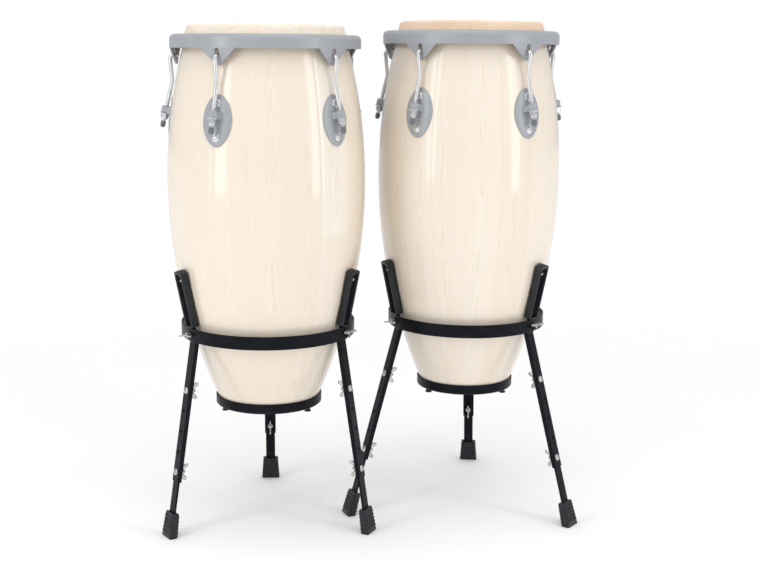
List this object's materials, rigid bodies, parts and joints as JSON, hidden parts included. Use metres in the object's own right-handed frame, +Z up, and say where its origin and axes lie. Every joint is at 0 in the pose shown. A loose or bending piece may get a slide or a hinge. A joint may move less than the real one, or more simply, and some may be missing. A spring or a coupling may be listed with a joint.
{
  "type": "conga drum pair",
  "caption": "Pair of tall barrel hand drums with wooden stave shells, rawhide heads and hook tuning, each held upright in a folding-leg basket stand with telescoping legs.",
  "frame": {"origin": "on the floor, under the middle of the pair seen from above", "axes": "+Z up; -Y towards the player; the larger drum stands on the -X side"},
  "size_m": [0.7876, 0.5332, 0.936],
  "materials": {
    "lacquered_wood": "pale wood under clear gloss lacquer",
    "rawhide": "dry translucent rawhide",
    "satin_grey_steel": "satin grey powder coat",
    "black_steel": "black powder coat",
    "zinc_steel": "zinc plate",
    "chrome": "polished",
    "black_rubber": "matte moulded rubber"
  },
  "bodies": {
    "conga_stand": {"conga_stand_ring": "black_steel", "conga_upper_legs": "black_steel", "conga_pads": "black_rubber", "conga_clamp_bolts": "zinc_steel", "conga_wing_nuts": "chrome"},
    "conga_drum": {"conga_shell": "lacquered_wood", "conga_lug_plates": "satin_grey_steel", "conga_lug_bolts": "chrome", "conga_lug_bolt_nuts": "zinc_steel", "conga_bottom_band": "black_steel", "conga_bumpers": "black_rubber"},
    "conga_head_and_rim": {"conga_head": "rawhide", "conga_flesh_hoop": "zinc_steel", "conga_rim": "satin_grey_steel"},
    "conga_hook_1": {"conga_tuning_hook_1": "chrome"},
    "conga_nut_1": {"conga_tuning_nut_1": "chrome"},
    "conga_hook_2": {"conga_tuning_hook_2": "chrome"},
    "conga_nut_2": {"conga_tuning_nut_2": "chrome"},
    "conga_hook_3": {"conga_tuning_hook_3": "chrome"},
    "conga_nut_3": {"conga_tuning_nut_3": "chrome"},
    "conga_hook_4": {"conga_tuning_hook_4": "chrome"},
    "conga_nut_4": {"conga_tuning_nut_4": "chrome"},
    "conga_hook_5": {"conga_tuning_hook_5": "chrome"},
    "conga_nut_5": {"conga_tuning_nut_5": "chrome"},
    "conga_leg_1": {"conga_lower_leg_1": "black_steel", "conga_foot_1": "black_rubber"},
    "conga_leg_2": {"conga_lower_leg_2": "black_steel", "conga_foot_2": "black_rubber"},
    "conga_leg_3": {"conga_lower_leg_3": "black_steel", "conga_foot_3": "black_rubber"},
    "quinto_stand": {"quinto_stand_ring": "black_steel", "quinto_upper_legs": "black_steel", "quinto_pads": "black_rubber", "quinto_clamp_bolts": "zinc_steel", "quinto_wing_nuts": "chrome"},
    "quinto_drum": {"quinto_shell": "lacquered_wood", "quinto_lug_plates": "satin_grey_steel", "quinto_lug_bolts": "chrome", "quinto_lug_bolt_nuts": "zinc_steel", "quinto_bottom_band": "black_steel", "quinto_bumpers": "black_rubber"},
    "quinto_head_and_rim": {"quinto_head": "rawhide", "quinto_flesh_hoop": "zinc_steel", "quinto_rim": "satin_grey_steel"},
    "quinto_hook_1": {"quinto_tuning_hook_1": "chrome"},
    "quinto_nut_1": {"quinto_tuning_nut_1": "chrome"},
    "quinto_hook_2": {"quinto_tuning_hook_2": "chrome"},
    "quinto_nut_2": {"quinto_tuning_nut_2": "chrome"},
    "quinto_hook_3": {"quinto_tuning_hook_3": "chrome"},
    "quinto_nut_3": {"quinto_tuning_nut_3": "chrome"},
    "quinto_hook_4": {"quinto_tuning_hook_4": "chrome"},
    "quinto_nut_4": {"quinto_tuning_nut_4": "chrome"},
    "quinto_hook_5": {"quinto_tuning_hook_5": "chrome"},
    "quinto_nut_5": {"quinto_tuning_nut_5": "chrome"},
    "quinto_leg_1": {"quinto_lower_leg_1": "black_steel", "quinto_foot_1": "black_rubber"},
    "quinto_leg_2": {"quinto_lower_leg_2": "black_steel", "quinto_foot_2": "black_rubber"},
    "quinto_leg_3": {"quinto_lower_leg_3": "black_steel", "quinto_foot_3": "black_rubber"}
  },
  "joints": [
    {"name": "conga_lift_out", "type": "slide", "parent": "conga_stand", "child": "conga_drum", "axis": [0, 0, 1], "range_m": [0, 0.3]},
    {"name": "conga_rim_slide", "type": "slide", "parent": "conga_drum", "child": "conga_head_and_rim", "axis": [0, 0, 1], "range_m": [0, 0.003]},
    {"name": "conga_hook_slide_1", "type": "slide", "parent": "conga_drum", "child": "conga_hook_1", "axis": [0.0969, 0.2217, 0.9703], "range_m": [0, 0.00314]},
    {"name": "conga_nut_turn_1", "type": "hinge", "parent": "conga_drum", "child": "conga_nut_1", "pos_m": [-0.27103, -0.25508, 0.7725], "axis": [-0.0969, -0.2217, -0.9703], "range_deg": [0, 892]},
    {"name": "conga_hook_slide_2", "type": "slide", "parent": "conga_drum", "child": "conga_hook_2", "axis": [-0.1809, 0.1606, 0.9703], "range_m": [0, 0.00314]},
    {"name": "conga_nut_turn_2", "type": "hinge", "parent": "conga_drum", "child": "conga_nut_2", "pos_m": [-0.05655, -0.20792, 0.7725], "axis": [0.1809, -0.1606, -0.9703], "range_deg": [0, 892]},
    {"name": "conga_hook_slide_3", "type": "slide", "parent": "conga_drum", "child": "conga_hook_3", "axis": [-0.2087, -0.1224, 0.9703], "range_m": [0, 0.00314]},
    {"name": "conga_nut_turn_3", "type": "hinge", "parent": "conga_drum", "child": "conga_nut_3", "pos_m": [-0.03512, 0.01063, 0.7725], "axis": [0.2087, 0.1224, -0.9703], "range_deg": [0, 892]},
    {"name": "conga_hook_slide_4", "type": "slide", "parent": "conga_drum", "child": "conga_hook_4", "axis": [0.0519, -0.2363, 0.9703], "range_m": [0, 0.00314]},
    {"name": "conga_nut_turn_4", "type": "hinge", "parent": "conga_drum", "child": "conga_nut_4", "pos_m": [-0.23635, 0.09855, 0.7725], "axis": [-0.0519, 0.2363, -0.9703], "range_deg": [0, 892]},
    {"name": "conga_hook_slide_5", "type": "slide", "parent": "conga_drum", "child": "conga_hook_5", "axis": [0.2408, -0.0236, 0.9703], "range_m": [0, 0.00314]},
    {"name": "conga_nut_turn_5", "type": "hinge", "parent": "conga_drum", "child": "conga_nut_5", "pos_m": [-0.38215, -0.06567, 0.7725], "axis": [-0.2408, 0.0236, -0.9703], "range_deg": [0, 892]},
    {"name": "conga_leg_slide_1", "type": "slide", "parent": "conga_stand", "child": "conga_leg_1", "axis": [-0.1314, -0.091, -0.9871], "range_m": [0, 0.114]},
    {"name": "conga_leg_slide_2", "type": "slide", "parent": "conga_stand", "child": "conga_leg_2", "axis": [0.1445, -0.0683, -0.9871], "range_m": [0, 0.114]},
    {"name": "conga_leg_slide_3", "type": "slide", "parent": "conga_stand", "child": "conga_leg_3", "axis": [-0.0131, 0.1593, -0.9871], "range_m": [0, 0.114]},
    {"name": "quinto_place", "type": "slide", "parent": "conga_stand", "child": "quinto_stand", "axis": [1, 0, 0], "range_m": [0, 0.3]},
    {"name": "quinto_lift_out", "type": "slide", "parent": "quinto_stand", "child": "quinto_drum", "axis": [0, 0, 1], "range_m": [0, 0.3]},
    {"name": "quinto_rim_slide", "type": "slide", "parent": "quinto_drum", "child": "quinto_head_and_rim", "axis": [0, 0, 1], "range_m": [0, 0.003]},
    {"name": "quinto_hook_slide_1", "type": "slide", "parent": "quinto_drum", "child": "quinto_hook_1", "axis": [0.1463, 0.1927, 0.9703], "range_m": [0, 0.00314]},
    {"name": "quinto_nut_turn_1", "type": "hinge", "parent": "quinto_drum", "child": "quinto_nut_1", "pos_m": [0.07268, -0.12883, 0.7835], "axis": [-0.1463, -0.1927, -0.9703], "range_deg": [0, 892]},
    {"name": "quinto_hook_slide_2", "type": "slide", "parent": "quinto_drum", "child": "quinto_hook_2", "axis": [-0.1381, 0.1987, 0.9703], "range_m": [0, 0.00314]},
    {"name": "quinto_nut_turn_2", "type": "hinge", "parent": "quinto_drum", "child": "quinto_nut_2", "pos_m": [0.2824, -0.13322, 0.7835], "axis": [0.1381, -0.1987, -0.9703], "range_deg": [0, 892]},
    {"name": "quinto_hook_slide_3", "type": "slide", "parent": "quinto_drum", "child": "quinto_hook_3", "axis": [-0.2316, -0.0699, 0.9703], "range_m": [0, 0.00314]},
    {"name": "quinto_nut_turn_3", "type": "hinge", "parent": "quinto_drum", "child": "quinto_nut_3", "pos_m": [0.35138, 0.06487, 0.7835], "axis": [0.2316, 0.0699, -0.9703], "range_deg": [0, 892]},
    {"name": "quinto_hook_slide_4", "type": "slide", "parent": "quinto_drum", "child": "quinto_hook_4", "axis": [-0.0051, -0.2419, 0.9703], "range_m": [0, 0.00314]},
    {"name": "quinto_nut_turn_4", "type": "hinge", "parent": "quinto_drum", "child": "quinto_nut_4", "pos_m": [0.1843, 0.1917, 0.7835], "axis": [0.0051, 0.2419, -0.9703], "range_deg": [0, 892]},
    {"name": "quinto_hook_slide_5", "type": "slide", "parent": "quinto_drum", "child": "quinto_hook_5", "axis": [0.2285, -0.0796, 0.9703], "range_m": [0, 0.00314]},
    {"name": "quinto_nut_turn_5", "type": "hinge", "parent": "quinto_drum", "child": "quinto_nut_5", "pos_m": [0.01205, 0.07198, 0.7835], "axis": [-0.2285, 0.0796, -0.9703], "range_deg": [0, 892]},
    {"name": "quinto_leg_slide_1", "type": "slide", "parent": "quinto_stand", "child": "quinto_leg_1", "axis": [-0.2504, -0.1068, -0.9622], "range_m": [0, 0.114]},
    {"name": "quinto_leg_slide_2", "type": "slide", "parent": "quinto_stand", "child": "quinto_leg_2", "axis": [0.2177, -0.1635, -0.9622], "range_m": [0, 0.114]},
    {"name": "quinto_leg_slide_3", "type": "slide", "parent": "quinto_stand", "child": "quinto_leg_3", "axis": [0.0327, 0.2703, -0.9622], "range_m": [0, 0.114]}
  ],
  "couplings": [
    {"joint": "conga_hook_slide_1", "follows": "conga_rim_slide", "ratio": 1.0306},
    {"joint": "conga_nut_turn_1", "follows": "conga_rim_slide", "rad_per_m": 5180.4},
    {"joint": "conga_hook_slide_2", "follows": "conga_rim_slide", "ratio": 1.0306},
    {"joint": "conga_nut_turn_2", "follows": "conga_rim_slide", "rad_per_m": 5180.4},
    {"joint": "conga_hook_slide_3", "follows": "conga_rim_slide", "ratio": 1.0306},
    {"joint": "conga_nut_turn_3", "follows": "conga_rim_slide", "rad_per_m": 5180.4},
    {"joint": "conga_hook_slide_4", "follows": "conga_rim_slide", "ratio": 1.0306},
    {"joint": "conga_nut_turn_4", "follows": "conga_rim_slide", "rad_per_m": 5180.4},
    {"joint": "conga_hook_slide_5", "follows": "conga_rim_slide", "ratio": 1.0306},
    {"joint": "conga_nut_turn_5", "follows": "conga_rim_slide", "rad_per_m": 5180.4},
    {"joint": "quinto_hook_slide_1", "follows": "quinto_rim_slide", "ratio": 1.0306},
    {"joint": "quinto_nut_turn_1", "follows": "quinto_rim_slide", "rad_per_m": 5180.4},
    {"joint": "quinto_hook_slide_2", "follows": "quinto_rim_slide", "ratio": 1.0306},
    {"joint": "quinto_nut_turn_2", "follows": "quinto_rim_slide", "rad_per_m": 5180.4},
    {"joint": "quinto_hook_slide_3", "follows": "quinto_rim_slide", "ratio": 1.0306},
    {"joint": "quinto_nut_turn_3", "follows": "quinto_rim_slide", "rad_per_m": 5180.4},
    {"joint": "quinto_hook_slide_4", "follows": "quinto_rim_slide", "ratio": 1.0306},
    {"joint": "quinto_nut_turn_4", "follows": "quinto_rim_slide", "rad_per_m": 5180.4},
    {"joint": "quinto_hook_slide_5", "follows": "quinto_rim_slide", "ratio": 1.0306},
    {"joint": "quinto_nut_turn_5", "follows": "quinto_rim_slide", "rad_per_m": 5180.4}
  ]
}
